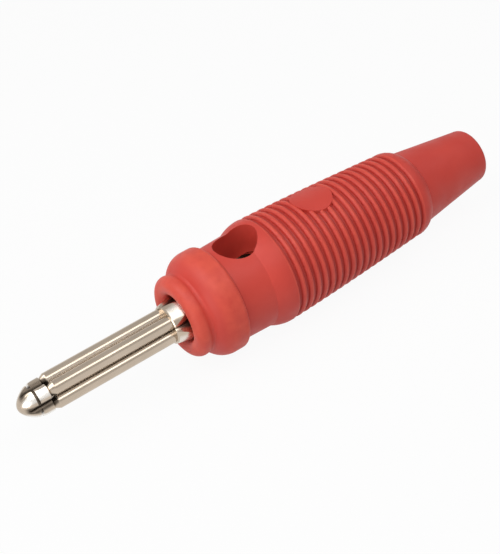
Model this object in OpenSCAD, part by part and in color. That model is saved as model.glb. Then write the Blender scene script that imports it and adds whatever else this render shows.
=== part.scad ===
// Test plug with a 4 mm sprung pin, a cross socket for a second plug and a ribbed
// insulating sleeve that slides back off its metal body to uncover the cable clamp.
// The axis of the plug is X: the pin points to -X and the cable leaves to +X.
// The origin is on the axis at the front face of the sleeve, and the cross hole runs along Z.

/* [Contact pin] */
// Length of the pin in front of the sleeve
pin_l = 19; // [17:0.5:22]
// Diameter over the spring wires
pin_d = 4; // [3.9:0.02:4.1]
// Diameter of each spring wire
wire_d = 1.5; // [1.4:0.02:1.6]
// Turn of the first spring wire about the axis, from the cross hole
wire_turn = 43; // [30:1:60]
// Length of the taper behind each wire's front end
wire_taper_l = 0.7; // [0.4:0.1:1.2]
// Diameter of the front end of each wire, where it sits in the head
wire_tip_d = 0.8; // [0.6:0.05:0.9]
// Length of the front end of each wire inside the head
wire_tip_l = 0.5; // [0.3:0.05:0.8]
// Diameter of the rod between the wires
core_d = 0.9; // [0.7:0.02:0.94]

/* [Head of the pin] */
// Diameter of the head
head_d = 3.76; // [3.6:0.02:3.9]
// Length of the head, with its pointed nose
head_l = 3.2; // [3.1:0.1:4.5]
// Length of the pointed nose
nose_l = 2.6; // [2.2:0.1:2.9]
// Diameter of the ball at the very tip of the nose
tip_d = 2; // [1.6:0.1:2.4]
// Diameter of each rounded lobe pressed into the head
head_lobe_d = 1.7; // [1.6:0.05:2]
// Diameter of the circle that the head's lobes are centred on
head_lobe_circle_d = 2.24; // [2.1:0.02:2.4]
// Diameter of the solid middle of the head
head_middle_d = 2.2; // [2:0.05:2.6]
// Distance from the tip to the groove round the head
head_groove_x = 1.7; // [1.5:0.1:2]
// Width of the groove round the head
head_groove_w = 0.3; // [0.15:0.05:0.4]
// Diameter at the bottom of the groove round the head
head_groove_d = 2.9; // [2.7:0.05:3.4]

/* [Metal body] */
// Length of the collar that shows in front of the sleeve
collar_stand = 1.2; // [0.6:0.1:2]
// Length of the crimped collar behind the sleeve's front face
collar_seat = 1.6; // [1:0.1:2.5]
// Diameter of the crimped collar at its front
collar_front_d = 4.4; // [4.3:0.05:4.8]
// Diameter that the collar widens to, where the sleeve covers it
collar_rear_d = 5.1; // [5:0.05:5.15]
// Distance from the sleeve's front face to the end of the collar's taper
collar_taper_end = 0.4; // [0.2:0.1:1.4]
// Diameter of each lobe of the crimped collar
collar_lobe_d = 2.8; // [2.75:0.05:2.9]
// Diameter of the circle that the collar's lobes are centred on
collar_lobe_circle_d = 2.5; // [2.4:0.05:2.6]
// Turn of the collar's lobes about the axis, from the cross hole
collar_turn = 27; // [24:1:45]
// Chamfer at the front edge of the collar
collar_chamfer = 0.1; // [0.05:0.05:0.2]
// Depth of the wires' seat behind the front face of the collar
wire_seat_l = 3.6; // [2.5:0.1:5]
// Diameter of the round barrel inside the sleeve
barrel_d = 5.2; // [5.1:0.05:5.3]
// Distance from the sleeve's front face to the back of the barrel
barrel_end = 26; // [24.5:0.5:30]
// Chamfer at the ends of the barrel
barrel_chamfer = 0.3; // [0.1:0.05:0.5]
// Diameter of the cross socket
socket_d = 4.06; // [4.02:0.01:4.1]
// Distance from the sleeve's front face to the centre of the cross socket
socket_x = 8.7; // [8:0.1:9]
// Diameter of the hole for the bared end of the cable
chamber_d = 3; // [2.98:0.01:3.3]
// Depth of the hole for the bared end of the cable
chamber_l = 11.5; // [10:0.5:13]

/* [Clamp screw] */
// Distance from the sleeve's front face to the clamp screw
screw_x = 19; // [17.5:0.5:22]
// Diameter of the tapped hole
screw_hole_d = 3; // [2.8:0.05:3]
// Length of the clamp screw
screw_l = 2.2; // [2:0.1:2.4]
// Depth of the screw's flat end below the edge of its hole in the round barrel
screw_sink = 0.1; // [0.05:0.05:0.3]
// Length of the taper at the screw's inner end
screw_taper_l = 0.6; // [0.3:0.1:0.8]
// Width of the screwdriver slot
slot_w = 0.5; // [0.4:0.05:0.7]
// Depth of the screwdriver slot
slot_depth = 0.7; // [0.5:0.1:1]

/* [Sleeve front] */
// Overall length of the sleeve
sleeve_l = 42.2; // [40:0.1:46]
// Diameter of the rounded lip at the front
lip_d = 9.4; // [9.2:0.1:10]
// Rounding of the front lip
lip_round = 1; // [0.9:0.05:1.1]
// Rounding of the front edge of the bore
mouth_round = 0.9; // [0.4:0.05:0.95]
// Rounding at the bottom of the valley between the lip and the flange
valley_round = 0.4; // [0.3:0.05:0.6]
// Diameter of the finger flange
flange_d = 12; // [11.8:0.1:13]
// Distance from the front face to the end of the flange's front rounding
flange_x = 4; // [3.8:0.05:4.2]
// Rounding of the front of the flange
flange_round = 2.3; // [2.1:0.05:2.5]
// Distance from the front face to the back of the flange
flange_rear_x = 5.5; // [5.2:0.1:6]
// Rounding of the rear edge of the flange
flange_rear_round = 0.5; // [0.3:0.05:0.5]
// Diameter of the neck at the flange
neck_front_d = 10.7; // [10.2:0.1:10.8]
// Diameter of the neck at the shoulder of the grip
neck_rear_d = 11.2; // [10.8:0.1:11.4]
// Diameter of the cross hole through the sleeve
cross_hole_d = 4.95; // [4.6:0.05:5.2]

/* [Sleeve grip] */
// Distance from the front face to the first rib
grip_x = 11.6; // [11.2:0.1:12]
// Diameter over the first rib
grip_front_d = 12.3; // [11.8:0.1:12.6]
// Diameter over the last rib
grip_rear_d = 10.4; // [10:0.1:10.8]
// How late the grip narrows: 1 is a straight cone
grip_curve = 1.3; // [1:0.05:1.6]
// Rounding of the shoulder in front of the grip
shoulder_round = 4.5; // [3.6:0.1:4.8]
// Distance from rib to rib
rib_pitch = 1; // [0.95:0.05:1.05]
// Rounding of each rib
rib_round = 0.32; // [0.32:0.01:0.45]
// Height of each rib over the groove beside it
rib_height = 0.3; // [0.2:0.01:0.32]
// Distance from the front face to the bare mark field
mark_x = 19; // [17:0.5:22]
// Diameter of the bare mark field
mark_d = 4.7; // [4:0.1:5.4]
// Height of the bare mark field over the ribs
mark_raise = 0.05; // [0.04:0.01:0.12]

/* [Sleeve tail] */
// Diameter of the tail behind the grip
tail_front_d = 9.4; // [9:0.1:9.6]
// Diameter of the tail at its end
tail_rear_d = 6.5; // [6.4:0.1:7]
// Rounding of the shoulder behind the grip
tail_shoulder_round = 1.9; // [1.6:0.1:2.2]
// Rounding of the rim at the tail's end
tail_rim_round = 0.6; // [0.3:0.05:0.7]
// Diameter of the cable's way through the tail
cable_hole_d = 4.6; // [4:0.1:4.9]

/* [Fits] */
// Gap on each side between a spring wire and its seat
wire_fit = 0.01; // [0.01:0.01:0.03]
// Gap on each side between the barrel and the sleeve
sleeve_fit = 0.05; // [0.02:0.01:0.08]
// Gap on each side between the clamp screw and its tapped hole
screw_fit = 0.05; // [0.02:0.01:0.08]

/* [Hidden] */
wires = 4;
ribs = 20;
cut = 1;
wire_circle_r = (pin_d - wire_d) / 2;
head_rear_x = head_l - pin_l;
collar_front_x = -collar_stand;
wire_seat_x = collar_front_x + wire_seat_l;
bore_d = barrel_d + 2 * sleeve_fit;
screw_d = screw_hole_d - 2 * screw_fit;
screw_out_z = sqrt(pow(barrel_d / 2, 2) - pow(screw_d / 2, 2)) - screw_sink;
last_rib_x = grip_x + (ribs - 1) * rib_pitch;
tail_shoulder_x = last_rib_x + rib_round / 2;
core_clearance = 0.1;
arc_overlap = 0.005;
red = [0.80, 0.13, 0.12];
nickel = [0.80, 0.77, 0.70];
steel = [0.62, 0.62, 0.64];

// Radius over rib number i: the grip narrows slowly at first and faster towards the tail
function crest_r(i) =
    grip_front_d / 2 - (grip_front_d - grip_rear_d) / 2 * pow(max(i, 0) / (ribs - 1), grip_curve);

// Place of rib number i along the axis
function rib_x(i) = grip_x + i * rib_pitch;

// Turns an outline, drawn as radius and distance along the plug, about the X axis
module turned() {
    rotate([0, 90, 0]) rotate_extrude($fn = 96) children();
}

// A round bar along X from x1 to x2, at a given distance from the axis and turn about it
module bar(d, x1, x2, off = 0, turn = 0) {
    rotate([turn, 0, 0])
        translate([x1, 0, off])
            rotate([0, 90, 0]) cylinder(d = d, h = x2 - x1, $fn = 48);
}

// Equal bars spaced round the axis, one for each spring wire
module bars_round(d, x1, x2, off, turn) {
    for (k = [0:wires - 1]) bar(d, x1, x2, off, turn + 360 / wires * k);
}

// Outline between the lip and the flange: a hollow arc that runs a hair into both of their arcs
module valley_outline() {
    lip_r = lip_d / 2 - lip_round;
    flange_r = flange_d / 2 - flange_round;
    out = flange_r - lip_r;
    back = flange_x - lip_round;
    apart = norm([out, back]);
    to_lip = lip_round + valley_round - arc_overlap;
    to_flange = flange_round + valley_round - arc_overlap;
    along = (pow(to_lip, 2) - pow(to_flange, 2) + pow(apart, 2)) / (2 * apart);
    across = sqrt(pow(to_lip, 2) - pow(along, 2));
    valley = [lip_r + (along * out + across * back) / apart, lip_round + (along * back - across * out) / apart];
    difference() {
        polygon([[0, lip_round], [lip_r, lip_round], valley, [flange_r, flange_x], [0, flange_x]]);
        translate(valley) circle(valley_round, $fn = 48);
    }
}

// Outline of the lip, the finger flange and the neck
module sleeve_front_outline() {
    flange_r = flange_d / 2;
    rear_round_x = flange_rear_x - flange_rear_round;
    translate([lip_d / 2 - lip_round, lip_round]) circle(lip_round, $fn = 64);
    square([lip_d / 2 - lip_round, lip_round]);
    valley_outline();
    translate([flange_r - flange_round, flange_x]) circle(flange_round, $fn = 96);
    translate([0, flange_x]) square([flange_r, rear_round_x - flange_x]);
    translate([0, flange_x]) square([flange_r - flange_rear_round, flange_rear_x - flange_x]);
    translate([flange_r - flange_rear_round, rear_round_x]) circle(flange_rear_round, $fn = 32);
    polygon([[0, flange_x], [neck_front_d / 2, flange_x], [neck_rear_d / 2, grip_x], [0, grip_x]]);
    intersection() {
        translate([grip_front_d / 2 - shoulder_round, grip_x]) circle(shoulder_round, $fn = 96);
        translate([0, flange_x]) square([flange_d, grip_x - flange_x]);
    }
}

// Outline of the ribbed grip: a core with one round rib at each pitch
module sleeve_grip_outline() {
    polygon(concat(
        [[0, grip_x]],
        [for (i = [0:ribs - 1]) [crest_r(i) - rib_height, rib_x(i)]],
        [[0, last_rib_x]]
    ));
    for (i = [0:ribs - 1])
        translate([crest_r(i) - rib_round, rib_x(i)]) circle(rib_round, $fn = 32);
}

// Outline of the shoulder behind the grip and the tapered tail
module sleeve_tail_outline() {
    rim_x = sleeve_l - tail_rim_round;
    rim_r = tail_rear_d / 2 - tail_rim_round;
    intersection() {
        translate([grip_rear_d / 2 - tail_shoulder_round, tail_shoulder_x])
            circle(tail_shoulder_round, $fn = 96);
        translate([0, last_rib_x]) square([flange_d, tail_shoulder_round * 2]);
    }
    polygon([
        [0, last_rib_x], [tail_front_d / 2, last_rib_x], [tail_rear_d / 2, rim_x],
        [rim_r, sleeve_l], [0, sleeve_l]
    ]);
    translate([rim_r, rim_x]) circle(tail_rim_round, $fn = 32);
}

// Outline of what the rounded front edge of the bore takes away
module mouth_outline() {
    mouth_r = bore_d / 2 + mouth_round;
    difference() {
        translate([0, -cut]) square([mouth_r, mouth_round + cut]);
        translate([mouth_r, mouth_round]) circle(mouth_round, $fn = 48);
    }
}

// Smooth round field that interrupts the ribs, just over their crests
module mark_field() {
    intersection() {
        translate([mark_x, 0, grip_rear_d / 2 - rib_round * 2])
            cylinder(d = mark_d, h = flange_d, $fn = 64);
        turned() polygon(concat(
            [[0, grip_x]],
            [for (i = [0:ribs - 1]) [crest_r(i) + mark_raise, rib_x(i)]],
            [[0, last_rib_x]]
        ));
    }
}

// The moulded sleeve: one piece, bored from the front for the barrel and from the tail for the cable
module insulating_sleeve() {
    color(red) difference() {
        union() {
            turned() {
                sleeve_front_outline();
                sleeve_grip_outline();
                sleeve_tail_outline();
            }
            mark_field();
        }
        bar(bore_d, -cut, barrel_end);
        turned() mouth_outline();
        bar(cable_hole_d, barrel_end - cut, sleeve_l + cut);
        translate([socket_x, 0, 0]) cylinder(d = cross_hole_d, h = 2 * flange_d, center = true, $fn = 64);
    }
}

// Outline of the tapered collar, with a chamfered front edge
module collar_outline() {
    front_r = collar_front_d / 2;
    rear_r = collar_rear_d / 2;
    polygon([
        [0, collar_front_x], [front_r - collar_chamfer, collar_front_x],
        [front_r, collar_front_x + collar_chamfer], [rear_r, collar_taper_end],
        [rear_r, collar_seat], [0, collar_seat]
    ]);
}

// The crimped collar: four rounded lobes, pressed together round the spring wires
module collar() {
    intersection() {
        union() {
            bars_round(collar_lobe_d, collar_front_x, collar_seat, collar_lobe_circle_d / 2, collar_turn);
            bar(collar_lobe_circle_d, collar_front_x, collar_seat);
        }
        turned() collar_outline();
    }
}

// The turned metal body: collar, barrel, cross socket, cable hole and tapped clamp hole
module contact_body() {
    barrel_r = barrel_d / 2;
    color(nickel) difference() {
        union() {
            collar();
            turned() polygon([
                [0, collar_seat], [barrel_r - barrel_chamfer, collar_seat],
                [barrel_r, collar_seat + barrel_chamfer], [barrel_r, barrel_end - barrel_chamfer],
                [barrel_r - barrel_chamfer, barrel_end], [0, barrel_end]
            ]);
        }
        bars_round(wire_d + 2 * wire_fit, collar_front_x - cut, wire_seat_x, wire_circle_r, wire_turn);
        bar(core_d + 2 * core_clearance, collar_front_x - cut, wire_seat_x);
        translate([socket_x, 0, 0]) cylinder(d = socket_d, h = 2 * barrel_d, center = true, $fn = 64);
        bar(chamber_d, barrel_end - chamber_l, barrel_end + cut);
        translate([screw_x, 0, 0]) cylinder(d = screw_hole_d, h = barrel_d, $fn = 48);
    }
}

// Outline of the head: a ball tip, a long arc that runs smoothly on from it, and a round body
module head_outline() {
    head_r = head_d / 2;
    tip_r = tip_d / 2;
    nose_rear_x = nose_l - pin_l;
    ball_x = tip_r - pin_l;
    arc_l = nose_l - tip_r;
    arc_r = (pow(head_r, 2) + pow(arc_l, 2) - pow(tip_r, 2)) / (2 * (head_r - tip_r));
    join_x = ball_x - tip_r * arc_l / (arc_r - tip_r);
    intersection() {
        translate([head_r - arc_r, nose_rear_x]) circle(arc_r, $fn = 96);
        translate([0, join_x]) square([head_r, nose_rear_x - join_x]);
    }
    intersection() {
        translate([0, ball_x]) circle(tip_r, $fn = 96);
        translate([0, -pin_l]) square(tip_r);
    }
    translate([0, nose_rear_x]) square([head_r, head_l - nose_l]);
}

// The rod between the wires and its lobed head, which holds their front ends
module pin_core() {
    wire_ends_x = head_rear_x - wire_tip_l;
    color(nickel) {
        difference() {
            intersection() {
                turned() head_outline();
                union() {
                    bars_round(head_lobe_d, -pin_l, head_rear_x, head_lobe_circle_d / 2, wire_turn);
                    bar(head_middle_d, -pin_l, head_rear_x);
                }
            }
            turned() translate([head_groove_d / 2, head_groove_x - pin_l])
                square([head_d, head_groove_w]);
            bars_round(wire_tip_d + 2 * wire_fit, wire_ends_x, head_rear_x + cut, wire_circle_r, wire_turn);
        }
        bar(core_d, wire_ends_x, wire_seat_x);
    }
}

// One spring wire: a round bar with a tapered front end, seated in the head and the collar
module spring_wire(k) {
    color(nickel) rotate([wire_turn + 360 / wires * (k - 1), 0, 0]) translate([0, 0, wire_circle_r])
        turned() polygon([
            [0, head_rear_x - wire_tip_l], [wire_tip_d / 2, head_rear_x - wire_tip_l],
            [wire_tip_d / 2, head_rear_x], [wire_d / 2, head_rear_x + wire_taper_l],
            [wire_d / 2, wire_seat_x], [0, wire_seat_x]
        ]);
}
module spring_wire_1() spring_wire(1);
module spring_wire_2() spring_wire(2);
module spring_wire_3() spring_wire(3);
module spring_wire_4() spring_wire(4);

// The headless slotted screw that clamps the cable, run in flush with the barrel
module clamp_screw() {
    color(steel) translate([screw_x, 0, screw_out_z - screw_l]) difference() {
        rotate_extrude($fn = 48) polygon([
            [0, 0], [screw_d / 2 - screw_taper_l, 0], [screw_d / 2, screw_taper_l],
            [screw_d / 2, screw_l], [0, screw_l]
        ]);
        translate([-screw_d, -slot_w / 2, screw_l - slot_depth]) cube([2 * screw_d, slot_w, slot_depth + cut]);
    }
}

insulating_sleeve();
contact_body();
pin_core();
clamp_screw();
spring_wire_1();
spring_wire_2();
spring_wire_3();
spring_wire_4();
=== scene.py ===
# %% [markdown]
# A 4 mm test plug lies on a white table: a sprung metal pin, a crimped collar, and a red
# ribbed sleeve with a cross hole. The solid model arrives finished, in metres,
# with its axis along X. This lesson dresses it: camera, light, plastic, nickel and small detail.

import math
from collections import Counter

import bpy
from mathutils import Matrix, Vector


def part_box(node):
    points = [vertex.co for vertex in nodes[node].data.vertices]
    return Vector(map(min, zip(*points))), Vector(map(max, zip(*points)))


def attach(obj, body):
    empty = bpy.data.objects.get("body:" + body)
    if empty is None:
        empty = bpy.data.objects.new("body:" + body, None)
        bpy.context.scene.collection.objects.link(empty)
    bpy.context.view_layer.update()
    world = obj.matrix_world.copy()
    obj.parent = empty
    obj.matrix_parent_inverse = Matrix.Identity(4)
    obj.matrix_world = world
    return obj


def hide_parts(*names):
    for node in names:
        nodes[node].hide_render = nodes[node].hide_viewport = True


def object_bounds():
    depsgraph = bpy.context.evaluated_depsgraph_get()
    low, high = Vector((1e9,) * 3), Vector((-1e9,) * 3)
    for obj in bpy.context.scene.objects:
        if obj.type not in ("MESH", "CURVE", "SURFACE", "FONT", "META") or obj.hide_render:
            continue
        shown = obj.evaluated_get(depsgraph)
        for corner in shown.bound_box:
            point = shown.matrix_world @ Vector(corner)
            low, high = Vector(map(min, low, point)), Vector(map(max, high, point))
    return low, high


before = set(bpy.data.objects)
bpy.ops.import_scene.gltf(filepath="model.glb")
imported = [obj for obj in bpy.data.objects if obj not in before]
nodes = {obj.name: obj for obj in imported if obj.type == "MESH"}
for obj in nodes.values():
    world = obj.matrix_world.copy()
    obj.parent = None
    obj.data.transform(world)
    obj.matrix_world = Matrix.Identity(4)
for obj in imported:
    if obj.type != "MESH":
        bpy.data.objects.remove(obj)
cad_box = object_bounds()
MM = 0.001
bpy.ops.object.select_all(action="DESELECT")
print("nodes:", sorted(nodes))
print("CAD box:", cad_box)

# %% [markdown]
# The photograph was taken close up, so its perspective is strong and the camera matters.
# A camera can be aimed by eye, or worked out from a size that is known. Here the pin's width
# of 4 mm set the scale, and a fit to the outlines and the ribs gave the camera's place, its
# aim, its roll and its focal length.

# %% Camera
CAMERA_AT = Vector((-44.11, -92.56, 80.47)) * MM
CAMERA_AIM = Vector((10.23, 0.79, -0.52)) * MM
CAMERA_ROLL = math.radians(-10.23)
FOCAL_PX = 1242.0
LONG_SIDE_PX = 554.0
SENSOR_MM = 36.0

camera_data = bpy.data.cameras.new("photo_camera")
camera_data.sensor_width = SENSOR_MM
camera_data.lens = FOCAL_PX / LONG_SIDE_PX * SENSOR_MM
camera_data.clip_start = 1 * MM
camera = bpy.data.objects.new("photo_camera", camera_data)
bpy.context.scene.collection.objects.link(camera)
aim = (CAMERA_AIM - CAMERA_AT).to_track_quat("-Z", "Y").to_matrix()
roll = Matrix.Rotation(CAMERA_ROLL, 3, "Z")
camera.matrix_world = Matrix.Translation(CAMERA_AT) @ (aim @ roll).to_4x4()
bpy.context.scene.camera = camera
print("lens:", round(camera_data.lens, 1), "mm")

# %% [markdown]
# The table is plain white paper. A floor that only reflects the lamps comes out grey, so most
# of its light, as the camera and the metal see it, is its own at a strength of 1, and the
# rest is lit, which keeps a faint shadow under the plug. A low round wall of the same paper
# stands far off, and hides the horizon in views from the side.

# %% Floor
FLOOR_SIZE = 3.0
WALL_R = 1.4
WALL_H = 0.4
FLOOR_OWN_LIGHT = 0.94
PAPER_GREY = 0.7


def seen_directly(tree):
    path = tree.nodes.new("ShaderNodeLightPath")
    seen = path.outputs["Is Camera Ray"]
    for other in ("Is Glossy Ray", "Is Transmission Ray"):
        either = tree.nodes.new("ShaderNodeMath")
        either.operation = "MAXIMUM"
        tree.links.new(seen, either.inputs[0])
        tree.links.new(path.outputs[other], either.inputs[1])
        seen = either.outputs[0]
    return seen


def paper_material():
    material = bpy.data.materials.new("white_paper")
    material.use_nodes = True
    tree = material.node_tree
    tree.nodes.clear()
    out = tree.nodes.new("ShaderNodeOutputMaterial")
    mix = tree.nodes.new("ShaderNodeMixShader")
    lit = tree.nodes.new("ShaderNodeBsdfDiffuse")
    own = tree.nodes.new("ShaderNodeEmission")
    share = tree.nodes.new("ShaderNodeMath")
    lit.inputs["Color"].default_value = (PAPER_GREY, PAPER_GREY, PAPER_GREY, 1)
    own.inputs["Strength"].default_value = 1.0
    share.operation = "MULTIPLY"
    share.inputs[1].default_value = FLOOR_OWN_LIGHT
    tree.links.new(seen_directly(tree), share.inputs[0])
    tree.links.new(share.outputs[0], mix.inputs["Fac"])
    tree.links.new(lit.outputs[0], mix.inputs[1])
    tree.links.new(own.outputs[0], mix.inputs[2])
    tree.links.new(mix.outputs[0], out.inputs["Surface"])
    return material


floor_z = cad_box[0][2]
bpy.ops.mesh.primitive_plane_add(size=FLOOR_SIZE, location=(0, 0, floor_z))
floor = bpy.context.object
floor.name = "floor"
PAPER = paper_material()
floor.data.materials.append(PAPER)
bpy.ops.mesh.primitive_cylinder_add(vertices=96, radius=WALL_R, depth=WALL_H, end_fill_type="NOTHING",
                                    location=(0, 0, floor_z + 0.5 * WALL_H))
wall = bpy.context.object
wall.name = "wall"
wall.data.materials.append(PAPER)
print("floor at z =", round(floor_z, 5), "wall up to z =", round(floor_z + WALL_H, 3))

# %% [markdown]
# The narrow bright line along each wire is the mirror image of one long lamp, which stands above
# the plug and towards the camera, and the tan beside it mirrors a pale room. A wire along X keeps
# the share of X in a ray's direction when it mirrors it, so lamps that stand well beyond the pin
# or the tail light the plastic and hardly show in the wires. The room's strength for what mirrors
# it and for what is matt are two values, both set by comparing renders with the photograph. A
# small card of light over the collar whitens its pads and the tip.

# %% Light
ROOM_MIRRORED = 0.65
ROOM_FILL = 0.36
PLUG_MIDDLE = Vector((8, 0, 0)) * MM
LAMPS = {
    "softbox": {"at": (25, -59, 116), "size": (200, 50), "power": 0.068},
    "collar_card": {"at": (-35, -10, 130), "size": (80, 60), "power": 0.018},
    "front_steep": {"at": (-100, -20, 160), "size": (90, 100), "power": 0.07},
    "back_steep": {"at": (-90, 70, 150), "size": (90, 100), "power": 0.08},
    "front_level": {"at": (-220, -60, 25), "size": (120, 120), "power": 0.15},
}


def area_lamp(name, at, size, power):
    lamp_data = bpy.data.lights.new(name, "AREA")
    lamp_data.shape = "RECTANGLE"
    lamp_data.size = size[0] * MM
    lamp_data.size_y = size[1] * MM
    lamp_data.energy = power
    lamp = bpy.data.objects.new(name, lamp_data)
    bpy.context.scene.collection.objects.link(lamp)
    lamp.location = Vector(at) * MM
    lamp.rotation_mode = "QUATERNION"
    lamp.rotation_quaternion = (PLUG_MIDDLE - lamp.location).to_track_quat("-Z", "Y")


for lamp_name, lamp in LAMPS.items():
    area_lamp(lamp_name, lamp["at"], lamp["size"], lamp["power"])

world = bpy.data.worlds.new("room")
bpy.context.scene.world = world
world.use_nodes = True
tree = world.node_tree
strength = tree.nodes.new("ShaderNodeMapRange")
tree.links.new(seen_directly(tree), strength.inputs["Value"])
strength.inputs["To Min"].default_value = ROOM_FILL
strength.inputs["To Max"].default_value = ROOM_MIRRORED
tree.nodes["Background"].inputs["Color"].default_value = (1, 1, 1, 1)
tree.links.new(strength.outputs["Result"], tree.nodes["Background"].inputs["Strength"])
bpy.context.scene.view_settings.view_transform = "Standard"
print("lamps:", sorted(LAMPS))

# %% [markdown]
# The solid model's clamp screw is smooth, because its thread would only slow the physics down.
# It shows when the sleeve is slid back, so a threaded one stands for it here. A thread is one
# tooth drawn from the root out to the crest and back, and then turned round the axis while it
# climbs by one pitch per turn. The two ragged ends are cut off flat. Blender's cutting tool snaps
# to whatever lies within 0.1 mm of its plane unless it is told less, which is a fifth of the
# pitch here and would leave the ends open. So the snap and the joining distance are set small,
# and the number of open edges is printed: none may be left.

# %% Threaded clamp screw
SCREW_LOW, SCREW_HIGH = (Vector(corner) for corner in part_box("clamp_screw"))
SCREW_X = 0.5 * (SCREW_LOW.x + SCREW_HIGH.x)
CREST_R = 0.5 * (SCREW_HIGH.x - SCREW_LOW.x)
TOOTH_DEPTH = 0.28 * MM
PITCH = 0.5 * MM
FLANK_RISE = 0.18 * MM
FLAT_RISE = 0.5 * PITCH - FLANK_RISE
TOOTH = ((TOOTH_DEPTH, FLANK_RISE), (0, FLAT_RISE), (-TOOTH_DEPTH, FLANK_RISE), (0, FLAT_RISE))
TURNS = 7
STEPS_PER_TURN = 64
TURNS_CUT_BELOW = 1.2
TAPER_L = 0.6 * MM
TAPER_SHARE = 0.62
SLOT_W = 0.5 * MM
SLOT_DEPTH = 0.7 * MM
JOIN = 0.0005 * MM
SNAP = 0.0001 * MM


def turned_thread():
    bpy.ops.object.select_all(action="DESELECT")
    bpy.ops.mesh.primitive_plane_add(size=MM)
    screw = bpy.context.object
    screw.name = "threaded_clamp_screw"
    bpy.ops.object.mode_set(mode="EDIT")
    bpy.ops.mesh.merge(type="CENTER")
    bpy.ops.transform.translate(value=(CREST_R - TOOTH_DEPTH, 0, 0))
    for outward, upward in TOOTH:
        bpy.ops.mesh.extrude_vertices_move(TRANSFORM_OT_translate={"value": (outward, 0, upward)})
    bpy.ops.object.mode_set(mode="OBJECT")
    turn = screw.modifiers.new("turn", "SCREW")
    turn.axis = "Z"
    turn.screw_offset = PITCH
    turn.iterations = TURNS
    turn.steps = STEPS_PER_TURN
    turn.render_steps = STEPS_PER_TURN
    turn.use_merge_vertices = True
    turn.merge_threshold = JOIN
    bpy.ops.object.modifier_apply(modifier="turn")
    return screw


def trim_thread(screw):
    cut_low = TURNS_CUT_BELOW * PITCH
    cut_high = cut_low + (SCREW_HIGH.z - SCREW_LOW.z) - TAPER_L
    bpy.ops.object.mode_set(mode="EDIT")
    bpy.ops.mesh.select_all(action="SELECT")
    bpy.ops.mesh.remove_doubles(threshold=JOIN)
    bpy.ops.mesh.bisect(plane_co=(0, 0, cut_high), plane_no=(0, 0, 1), use_fill=True,
                        clear_outer=True, threshold=SNAP)
    bpy.ops.mesh.select_all(action="SELECT")
    bpy.ops.mesh.bisect(plane_co=(0, 0, cut_low), plane_no=(0, 0, 1), use_fill=True,
                        clear_inner=True, threshold=SNAP)
    bpy.ops.mesh.extrude_region_move(TRANSFORM_OT_translate={"value": (0, 0, -TAPER_L)})
    bpy.ops.transform.resize(value=(TAPER_SHARE, TAPER_SHARE, 1), center_override=(0, 0, cut_low))
    bpy.ops.mesh.select_all(action="SELECT")
    bpy.ops.mesh.normals_make_consistent(inside=False)
    bpy.ops.transform.translate(value=(SCREW_X, 0, SCREW_LOW.z + TAPER_L - cut_low))
    bpy.ops.object.mode_set(mode="OBJECT")


def cut_slot(screw):
    bpy.ops.mesh.primitive_cube_add(size=1, location=(SCREW_X, 0, SCREW_HIGH.z))
    cutter = bpy.context.object
    cutter.scale = (4 * CREST_R, SLOT_W, 2 * SLOT_DEPTH)
    slot = screw.modifiers.new("slot", "BOOLEAN")
    slot.operation = "DIFFERENCE"
    slot.object = cutter
    bpy.ops.object.select_all(action="DESELECT")
    bpy.context.view_layer.objects.active = screw
    screw.select_set(True)
    bpy.ops.object.modifier_apply(modifier="slot")
    bpy.data.objects.remove(cutter)
    bpy.ops.object.shade_smooth_by_angle(angle=math.radians(25))


screw = turned_thread()
trim_thread(screw)
cut_slot(screw)
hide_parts("clamp_screw")
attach(screw, "screw")
edge_uses = Counter(key for face in screw.data.polygons for key in face.edge_keys)
open_edges = sum(1 for uses in edge_uses.values() if uses != 2)
print("threaded screw:", len(screw.data.polygons), "faces,", open_edges, "open edges")

# %% [markdown]
# Several finishes share the same small effects, so each effect is one node group with named
# sockets, and every material sets its own amounts. The first is cloudy variation: soft noise
# that shifts colour and gloss. The second is fine grain, which becomes a height for bump.

# %% Shared effects


def node_group(name, inputs, outputs):
    group = bpy.data.node_groups.new(name, "ShaderNodeTree")
    for socket_name, kind, value in inputs:
        socket = group.interface.new_socket(socket_name, in_out="INPUT", socket_type=kind)
        socket.default_value = value
    for socket_name, kind in outputs:
        group.interface.new_socket(socket_name, in_out="OUTPUT", socket_type=kind)
    return group, group.nodes.new("NodeGroupInput"), group.nodes.new("NodeGroupOutput")


def cloudy_group():
    group, given, out = node_group(
        "cloudy_variation",
        [("Coordinates", "NodeSocketVector", (0, 0, 0)), ("Scale", "NodeSocketFloat", 200.0),
         ("Low", "NodeSocketFloat", 0.0), ("High", "NodeSocketFloat", 1.0)],
        [("Value", "NodeSocketFloat")],
    )
    noise = group.nodes.new("ShaderNodeTexNoise")
    ramp = group.nodes.new("ShaderNodeMapRange")
    noise.inputs["Detail"].default_value = 4.0
    ramp.inputs["From Min"].default_value = 0.3
    ramp.inputs["From Max"].default_value = 0.7
    group.links.new(given.outputs["Coordinates"], noise.inputs["Vector"])
    group.links.new(given.outputs["Scale"], noise.inputs["Scale"])
    group.links.new(noise.outputs["Fac"], ramp.inputs["Value"])
    group.links.new(given.outputs["Low"], ramp.inputs["To Min"])
    group.links.new(given.outputs["High"], ramp.inputs["To Max"])
    group.links.new(ramp.outputs["Result"], out.inputs["Value"])
    return group


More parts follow.
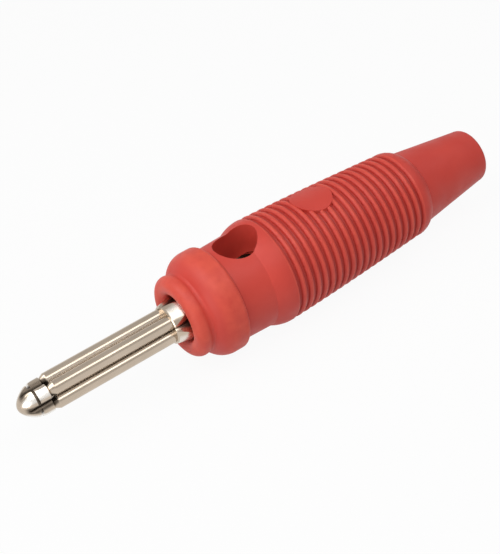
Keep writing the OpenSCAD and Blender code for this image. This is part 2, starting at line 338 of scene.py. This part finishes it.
def grain_group():
    group, given, out = node_group(
        "fine_grain",
        [("Coordinates", "NodeSocketVector", (0, 0, 0)), ("Scale", "NodeSocketFloat", 4000.0),
         ("Coarse Share", "NodeSocketFloat", 0.3)],
        [("Height", "NodeSocketFloat")],
    )
    fine = group.nodes.new("ShaderNodeTexNoise")
    coarse = group.nodes.new("ShaderNodeTexNoise")
    smaller = group.nodes.new("ShaderNodeMath")
    mix = group.nodes.new("ShaderNodeMix")
    smaller.operation = "MULTIPLY"
    smaller.inputs[1].default_value = 0.18
    group.links.new(given.outputs["Coordinates"], fine.inputs["Vector"])
    group.links.new(given.outputs["Coordinates"], coarse.inputs["Vector"])
    group.links.new(given.outputs["Scale"], fine.inputs["Scale"])
    group.links.new(given.outputs["Scale"], smaller.inputs[0])
    group.links.new(smaller.outputs[0], coarse.inputs["Scale"])
    group.links.new(given.outputs["Coarse Share"], mix.inputs["Factor"])
    group.links.new(fine.outputs["Fac"], mix.inputs["A"])
    group.links.new(coarse.outputs["Fac"], mix.inputs["B"])
    group.links.new(mix.outputs["Result"], out.inputs["Height"])
    return group


CLOUDY = cloudy_group()
GRAIN = grain_group()
print("effects:", CLOUDY.name, GRAIN.name)

# %% [markdown]
# A Principled shader stays in each material, where an exporter can read it. This helper starts
# one and returns its tree, so that each finish below only says what makes it special.

# %% A helper that starts a finish


def start_finish(name):
    material = bpy.data.materials.new(name)
    material.use_nodes = True
    tree = material.node_tree
    tree.nodes.clear()
    out = tree.nodes.new("ShaderNodeOutputMaterial")
    shader = tree.nodes.new("ShaderNodeBsdfPrincipled")
    place = tree.nodes.new("ShaderNodeTexCoord")
    tree.links.new(shader.outputs["BSDF"], out.inputs["Surface"])
    return material, tree, shader, place.outputs["Object"]


def add_group(tree, group, coordinates, **values):
    made = tree.nodes.new("ShaderNodeGroup")
    made.node_tree = group
    tree.links.new(coordinates, made.inputs["Coordinates"])
    for socket_name, value in values.items():
        made.inputs[socket_name.replace("_", " ")].default_value = value
    return made


def add_bump(tree, shader, height, strength, distance):
    bump = tree.nodes.new("ShaderNodeBump")
    bump.inputs["Strength"].default_value = strength
    bump.inputs["Distance"].default_value = distance
    tree.links.new(height, bump.inputs["Height"])
    tree.links.new(bump.outputs["Normal"], shader.inputs["Normal"])
    return bump


def mix_colours(tree, factor, first, second):
    mix = tree.nodes.new("ShaderNodeMix")
    mix.data_type = "RGBA"
    tree.links.new(factor, mix.inputs["Factor"])
    for socket, colour in ((mix.inputs[6], first), (mix.inputs[7], second)):
        if isinstance(colour, tuple):
            socket.default_value = colour
        else:
            tree.links.new(colour, socket)
    return mix.outputs[2]


# %% [markdown]
# The grip has twenty round ribs, 1 mm apart. Their crests get a painted highlight, paler in
# patches, and the grooves get painted shade, a deep red. A mask of rings finds the grooves from the
# distance along X, so it turns with the sleeve and needs no picture. It leaves the bore and the
# smooth round field alone. The lip and the flange get the same painted highlight, so they count as
# crests too. One more narrow ring finds the corner behind the flange, which gets painted shade too.
# The groove and crest limits are shares of the pitch, counted from the line of a crest.

# %% Mask of the grooves between the ribs
FIRST_RIB_X = 11.6 * MM
LAST_RIB_X = 30.6 * MM
RIB_PITCH = 1.0 * MM
FIELD_X = 19.0 * MM
FIELD_R = 2.35 * MM
GRIP_INSIDE_R = 4.4 * MM
GROOVE_FROM, GROOVE_FULL = 0.20, 0.42
CREST_FROM, CREST_FULL = 0.22, 0.02
FLANGE_HIGHLIGHT_R = 5.3 * MM
FLANGE_R = 6.0 * MM
LIP_END_X = 1.8 * MM
LIP_INSIDE_R = 2.9 * MM
CORNER_X = 5.52 * MM
CORNER_HALF_W = 0.22 * MM
CORNER_R = 5.42 * MM


def math_node(tree, operation, first, second=None):
    made = tree.nodes.new("ShaderNodeMath")
    made.operation = operation
    for socket, value in zip(made.inputs, (first, second)):
        if value is None:
            continue
        if isinstance(value, (int, float)):
            socket.default_value = value
        else:
            tree.links.new(value, socket)
    return made.outputs[0]


def axis_distance(tree, y, z):
    return math_node(tree, "SQRT", math_node(tree, "ADD",
        math_node(tree, "MULTIPLY", y, y), math_node(tree, "MULTIPLY", z, z)))


def ramp_node(tree, value, low, high):
    made = tree.nodes.new("ShaderNodeMapRange")
    made.interpolation_type = "SMOOTHSTEP"
    tree.links.new(value, made.inputs["Value"])
    made.inputs["From Min"].default_value = low
    made.inputs["From Max"].default_value = high
    return made.outputs["Result"]


def groove_group():
    group, given, out = node_group(
        "rib_grooves",
        [("Coordinates", "NodeSocketVector", (0, 0, 0))],
        [("Groove", "NodeSocketFloat"), ("Crest", "NodeSocketFloat")],
    )
    split = group.nodes.new("ShaderNodeSeparateXYZ")
    group.links.new(given.outputs["Coordinates"], split.inputs[0])
    x, y, z = split.outputs
    turns = math_node(group, "DIVIDE", math_node(group, "SUBTRACT", x, FIRST_RIB_X), RIB_PITCH)
    from_crest = math_node(group, "PINGPONG", turns, 0.5)
    radius = axis_distance(group, y, z)
    outside = math_node(group, "GREATER_THAN", radius, GRIP_INSIDE_R)
    after = math_node(group, "GREATER_THAN", x, FIRST_RIB_X)
    before = math_node(group, "LESS_THAN", x, LAST_RIB_X)
    along = math_node(group, "SUBTRACT", x, FIELD_X)
    off_field = math_node(group, "SQRT", math_node(group, "ADD",
        math_node(group, "MULTIPLY", along, along), math_node(group, "MULTIPLY", y, y)))
    off_field = math_node(group, "GREATER_THAN", off_field, FIELD_R)
    beneath = math_node(group, "LESS_THAN", z, 0.0)
    ribbed = math_node(group, "MAXIMUM", off_field, beneath)
    for part in (outside, after, before):
        ribbed = math_node(group, "MULTIPLY", ribbed, part)
    groove = math_node(group, "MULTIPLY", ramp_node(group, from_crest, GROOVE_FROM, GROOVE_FULL), ribbed)
    crest = math_node(group, "MULTIPLY", ramp_node(group, from_crest, CREST_FROM, CREST_FULL), ribbed)
    # The flange's rim and the lip join the crests, so they get the same painted highlight.
    flange = math_node(group, "MULTIPLY", ramp_node(group, radius, FLANGE_HIGHLIGHT_R, FLANGE_R),
                       math_node(group, "LESS_THAN", x, CORNER_X))
    lip = math_node(group, "MULTIPLY", ramp_node(group, x, LIP_END_X, 0.5 * LIP_END_X),
                    math_node(group, "GREATER_THAN", radius, LIP_INSIDE_R))
    crest = math_node(group, "MAXIMUM", crest, math_node(group, "MAXIMUM", flange, lip))
    # A ring at the corner behind the flange gets painted shade, as the grooves do.
    from_corner = math_node(group, "SUBTRACT", x, CORNER_X)
    out_of_corner = math_node(group, "MAXIMUM", math_node(group, "SUBTRACT", radius, CORNER_R), 0.0)
    from_corner = axis_distance(group, from_corner, out_of_corner)
    corner = math_node(group, "MULTIPLY", ramp_node(group, from_corner, CORNER_HALF_W, 0.0), outside)
    groove = math_node(group, "MAXIMUM", groove, corner)
    group.links.new(groove, out.inputs["Groove"])
    group.links.new(crest, out.inputs["Crest"])
    return group


GROOVES = groove_group()
print("ring mask:", GROOVES.name)

# %% [markdown]
# The sleeve is soft red plastic with an orange cast, satin and a little rubbery. Its gloss is
# broad and low, so the roughness is high, broken by cloudy patches, and a fine grain keeps the
# highlight from looking polished. The mask above puts painted shade in the grooves and a painted
# highlight on the crests.

# %% Red plastic
RED_DEEP = (0.54, 0.041, 0.028, 1)
RED_PALE = (0.61, 0.055, 0.036, 1)
# Painted highlight: the pale red that the rib crests, the lip and the flange get in patches.
RED_PAINTED_HIGHLIGHT = (0.75, 0.105, 0.058, 1)
# Painted shade: the dark red that the grooves and the corner behind the flange get.
RED_PAINTED_SHADE = (0.30, 0.014, 0.010, 1)
GROOVE_SHADE_SHARE = 0.6


def red_plastic():
    material, tree, shader, place = start_finish("soft_red_plastic")
    tint = add_group(tree, CLOUDY, place, Scale=160.0, Low=0.0, High=1.0)
    gloss = add_group(tree, CLOUDY, place, Scale=420.0, Low=0.46, High=0.60)
    highlight_patches = add_group(tree, CLOUDY, place, Scale=900.0, Low=0.15, High=0.6)
    grain = add_group(tree, GRAIN, place, Scale=5200.0, Coarse_Share=0.35)
    rings = add_group(tree, GROOVES, place)
    clean = mix_colours(tree, tint.outputs["Value"], RED_DEEP, RED_PALE)
    # Painted highlight on the crests, the lip and the flange, made patchy by noise.
    crest_highlight = math_node(tree, "MULTIPLY", rings.outputs["Crest"], highlight_patches.outputs["Value"])
    highlighted = mix_colours(tree, crest_highlight, clean, RED_PAINTED_HIGHLIGHT)
    # Painted shade in the grooves and in the corner behind the flange.
    groove_shade = math_node(tree, "MULTIPLY", rings.outputs["Groove"], GROOVE_SHADE_SHARE)
    colour = mix_colours(tree, groove_shade, highlighted, RED_PAINTED_SHADE)
    tree.links.new(colour, shader.inputs["Base Color"])
    tree.links.new(gloss.outputs["Value"], shader.inputs["Roughness"])
    shader.inputs["IOR"].default_value = 1.46
    add_bump(tree, shader, grain.outputs["Height"], 0.25, 0.02 * MM)
    return material


# %% [markdown]
# Plating gets painted shade, nearly black, in its hollows and a painted highlight on its crests.
# The ring round the head, the ends of the wires and the valleys of the collar lie nearer
# to the axis than the crests beside them, so the distance from the axis finds them. The head's
# valleys run out to its tip, and the angle round the axis finds those: each stands halfway
# between two wires. A second mask finds the crests of the same lobes, which get a painted
# highlight, and the inner sides of the wires, which get painted light that lifts their shade.

# %% Masks of painted shade and painted highlight on the plating
HEAD_END_X = -15.2 * MM
HEAD_RING_X = -17.5 * MM
HEAD_BRIGHT_R = 1.72 * MM
HEAD_DARK_R = 1.45 * MM
NOSE_BARE_X = -18.7 * MM
NOSE_DARK_X = -18.2 * MM
HEAD_PADS_END_X = -15.85 * MM
COLLAR_TURN = math.radians(27)
GAP_R = 1.15 * MM
GAP_END_R = 1.45 * MM
WIRE_TURN = math.radians(43)
COLLAR_FRONT_X = -1.15 * MM
COLLAR_FRONT_R = 2.2 * MM
COLLAR_TAPER = 0.219
COLLAR_REAR_R = 2.55 * MM
COLLAR_EDGE_L = 0.12 * MM
COLLAR_BRIGHT_DEPTH = 0.12 * MM
COLLAR_DARK_DEPTH = 0.35 * MM
LOBES = 4.0
VALLEY_FROM, VALLEY_FULL = -0.1, -0.75
HEAD_PAD_FROM, HEAD_PAD_FULL = 0.1, 0.75
COLLAR_PAD_FROM, COLLAR_PAD_FULL = -0.1, 0.9
COLLAR_PAD_SHARE = 0.6
GAP_SHARE = 0.5


def lobe_wave(tree, turn, first):
    phase = math_node(tree, "MULTIPLY", math_node(tree, "SUBTRACT", turn, first), LOBES)
    return math_node(tree, "COSINE", phase)


def shade_and_highlight_group():
    group, given, out = node_group(
        "painted_shade_and_highlight",
        [("Coordinates", "NodeSocketVector", (0, 0, 0))],
        [("Painted Shade", "NodeSocketFloat"), ("Painted Highlight", "NodeSocketFloat")],
    )
    split = group.nodes.new("ShaderNodeSeparateXYZ")
    group.links.new(given.outputs["Coordinates"], split.inputs[0])
    x, y, z = split.outputs
    radius = axis_distance(group, y, z)
    # Painted shade in the ring round the head and at the ends of the wires.
    ring = math_node(group, "MULTIPLY", math_node(group, "GREATER_THAN", x, HEAD_RING_X),
                     ramp_node(group, radius, HEAD_BRIGHT_R, HEAD_DARK_R))
    turn = math_node(group, "ARCTAN2", math_node(group, "MULTIPLY", y, -1.0), z)
    head_lobes = lobe_wave(group, turn, WIRE_TURN)
    # Painted shade in the valleys between the head's lobes.
    between = ramp_node(group, head_lobes, VALLEY_FROM, VALLEY_FULL)
    off_nose = ramp_node(group, x, NOSE_BARE_X, NOSE_DARK_X)
    between = math_node(group, "MULTIPLY", between, off_nose)
    head = math_node(group, "MULTIPLY", math_node(group, "MAXIMUM", ring, between),
                     math_node(group, "LESS_THAN", x, HEAD_END_X))
    # Painted shade in the valleys of the collar.
    behind = math_node(group, "SUBTRACT", x, COLLAR_FRONT_X)
    surface = math_node(group, "ADD", math_node(group, "MULTIPLY", behind, COLLAR_TAPER), COLLAR_FRONT_R)
    surface = math_node(group, "MINIMUM", surface, COLLAR_REAR_R)
    depth = math_node(group, "SUBTRACT", surface, radius)
    collar = math_node(group, "MULTIPLY", math_node(group, "GREATER_THAN", behind, 0.0),
                       ramp_node(group, depth, COLLAR_BRIGHT_DEPTH, COLLAR_DARK_DEPTH))
    painted_shade = math_node(group, "MAXIMUM", head, collar)
    # Painted highlight on the crests of the head's lobes and the collar's pads.
    head_pads = ramp_node(group, head_lobes, HEAD_PAD_FROM, HEAD_PAD_FULL)
    for part in (math_node(group, "LESS_THAN", x, HEAD_PADS_END_X), off_nose):
        head_pads = math_node(group, "MULTIPLY", head_pads, part)
    collar_pads = ramp_node(group, lobe_wave(group, turn, COLLAR_TURN), COLLAR_PAD_FROM, COLLAR_PAD_FULL)
    for part in (math_node(group, "GREATER_THAN", behind, COLLAR_EDGE_L), COLLAR_PAD_SHARE):
        collar_pads = math_node(group, "MULTIPLY", collar_pads, part)
    # Painted light in the gaps between the wires, which lifts their shade.
    gaps = ramp_node(group, radius, GAP_END_R, GAP_R)
    for part in (math_node(group, "GREATER_THAN", x, HEAD_PADS_END_X),
                 math_node(group, "LESS_THAN", behind, 0.0), GAP_SHARE):
        gaps = math_node(group, "MULTIPLY", gaps, part)
    painted_highlight = math_node(group, "MAXIMUM", math_node(group, "MAXIMUM", head_pads, collar_pads), gaps)
    painted_highlight = math_node(group, "MULTIPLY", painted_highlight, math_node(group, "SUBTRACT", 1.0, painted_shade))
    group.links.new(painted_shade, out.inputs["Painted Shade"])
    group.links.new(painted_highlight, out.inputs["Painted Highlight"])
    return group


SHADE_AND_HIGHLIGHT = shade_and_highlight_group()
print("corner mask:", SHADE_AND_HIGHLIGHT.name)

# %% [markdown]
# The metal parts are brass under bright nickel plate: a warm grey mirror, not a blue one. Drawn
# wire has faint lines along its length, made here by noise that is stretched along X. Cloudy
# patches dull the mirror a little, as handling does, and the mask above paints shade into the hollows
# and a highlight onto the crests.

# %% Nickel plate
NICKEL_DARK = (0.52, 0.43, 0.34, 1)
NICKEL_PALE = (0.60, 0.50, 0.40, 1)
# Painted shade: the near black that the hollows of the head and the collar get.
NICKEL_PAINTED_SHADE = (0.05, 0.037, 0.027, 1)
# Painted highlight: the pale that the crests of the lobes and the gaps between the wires get.
NICKEL_PAINTED_HIGHLIGHT = (0.95, 0.92, 0.87, 1)
NICKEL_SHADE_SHARE = 0.88
NICKEL_HIGHLIGHT_SHARE = 0.9
DULLED_BY = 0.16
DRAWN_STRETCH = 0.04


def nickel_plate():
    material, tree, shader, place = start_finish("bright_nickel_plate")
    stretch = tree.nodes.new("ShaderNodeMapping")
    stretch.inputs["Scale"].default_value = (DRAWN_STRETCH, 1, 1)
    tree.links.new(place, stretch.inputs["Vector"])
    drawn = add_group(tree, GRAIN, stretch.outputs["Vector"], Scale=6500.0, Coarse_Share=0.5)
    tint = add_group(tree, CLOUDY, place, Scale=300.0, Low=0.0, High=1.0)
    gloss = add_group(tree, CLOUDY, place, Scale=700.0, Low=0.15, High=0.24)
    light_masks = add_group(tree, SHADE_AND_HIGHLIGHT, place)
    clean = mix_colours(tree, tint.outputs["Value"], NICKEL_DARK, NICKEL_PALE)
    # Painted shade in the hollows of the head and the collar.
    shade_amount = math_node(tree, "MULTIPLY", light_masks.outputs["Painted Shade"], NICKEL_SHADE_SHARE)
    colour = mix_colours(tree, shade_amount, clean, NICKEL_PAINTED_SHADE)
    # Painted highlight on the lobes' crests, and painted light in the gaps between the wires.
    painted_highlight = math_node(tree, "MULTIPLY", light_masks.outputs["Painted Highlight"], NICKEL_HIGHLIGHT_SHARE)
    colour = mix_colours(tree, painted_highlight, colour, NICKEL_PAINTED_HIGHLIGHT)
    shade_or_highlight = math_node(tree, "MAXIMUM", light_masks.outputs["Painted Shade"], painted_highlight)
    duller = math_node(tree, "MULTIPLY", shade_or_highlight, DULLED_BY)
    tree.links.new(colour, shader.inputs["Base Color"])
    tree.links.new(math_node(tree, "ADD", gloss.outputs["Value"], duller), shader.inputs["Roughness"])
    shader.inputs["Metallic"].default_value = 1.0
    add_bump(tree, shader, drawn.outputs["Height"], 0.12, 0.01 * MM)
    return material


# %% [markdown]
# The clamp screw is steel with a thin zinc plating: cooler, greyer and duller than the nickel.

# %% Zinc-plated steel
ZINC_DARK = (0.42, 0.43, 0.45, 1)
ZINC_PALE = (0.52, 0.53, 0.55, 1)


def zinc_steel():
    material, tree, shader, place = start_finish("zinc_plated_steel")
    tint = add_group(tree, CLOUDY, place, Scale=900.0, Low=0.0, High=1.0)
    gloss = add_group(tree, CLOUDY, place, Scale=1500.0, Low=0.28, High=0.42)
    grain = add_group(tree, GRAIN, place, Scale=9000.0, Coarse_Share=0.4)
    colour = mix_colours(tree, tint.outputs["Value"], ZINC_DARK, ZINC_PALE)
    tree.links.new(colour, shader.inputs["Base Color"])
    tree.links.new(gloss.outputs["Value"], shader.inputs["Roughness"])
    shader.inputs["Metallic"].default_value = 1.0
    add_bump(tree, shader, grain.outputs["Height"], 0.15, 0.01 * MM)
    return material


# %% Put the finishes on the pieces


def dress(node_name, material):
    piece = nodes[node_name]
    piece.data.materials.clear()
    piece.data.materials.append(material)


RED = red_plastic()
NICKEL = nickel_plate()
ZINC = zinc_steel()
dress("insulating_sleeve", RED)
for name in ["contact_body", "pin_core"] + [f"spring_wire_{number}" for number in range(1, 5)]:
    dress(name, NICKEL)
dress("clamp_screw", ZINC)
screw.data.materials.append(ZINC)
print("dressed:", len(nodes), "pieces")
